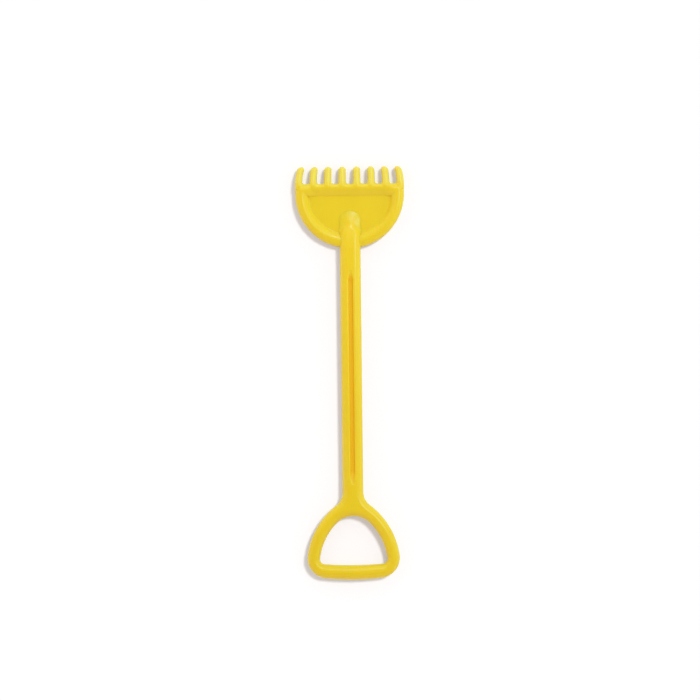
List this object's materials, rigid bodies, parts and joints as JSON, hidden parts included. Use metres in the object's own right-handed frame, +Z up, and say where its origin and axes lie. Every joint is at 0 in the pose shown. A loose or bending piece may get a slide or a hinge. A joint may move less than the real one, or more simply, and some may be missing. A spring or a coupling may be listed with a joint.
{
  "type": "sand rake",
  "caption": "Child's sand rake: flat round-backed head with a framed recess and short blunt tines, a grooved shaft and a D-shaped grip.",
  "frame": {"origin": "on the surface the rake lies on, under the middle of its box", "axes": "+X across the rake, +Y from the grip to the tines, +Z up out of the front face"},
  "size_m": [0.1054, 0.4, 0.014],
  "materials": {
    "yellow_plastic": "glossy moulded polypropylene, warm yellow",
    "dowel_plastic": "natural white moulded plastic"
  },
  "bodies": {
    "root": {"rake_head": "yellow_plastic", "front_shell": "yellow_plastic", "back_shell": "yellow_plastic", "head_dowels": "dowel_plastic", "grip_dowels": "dowel_plastic"}
  },
  "joints": []
}
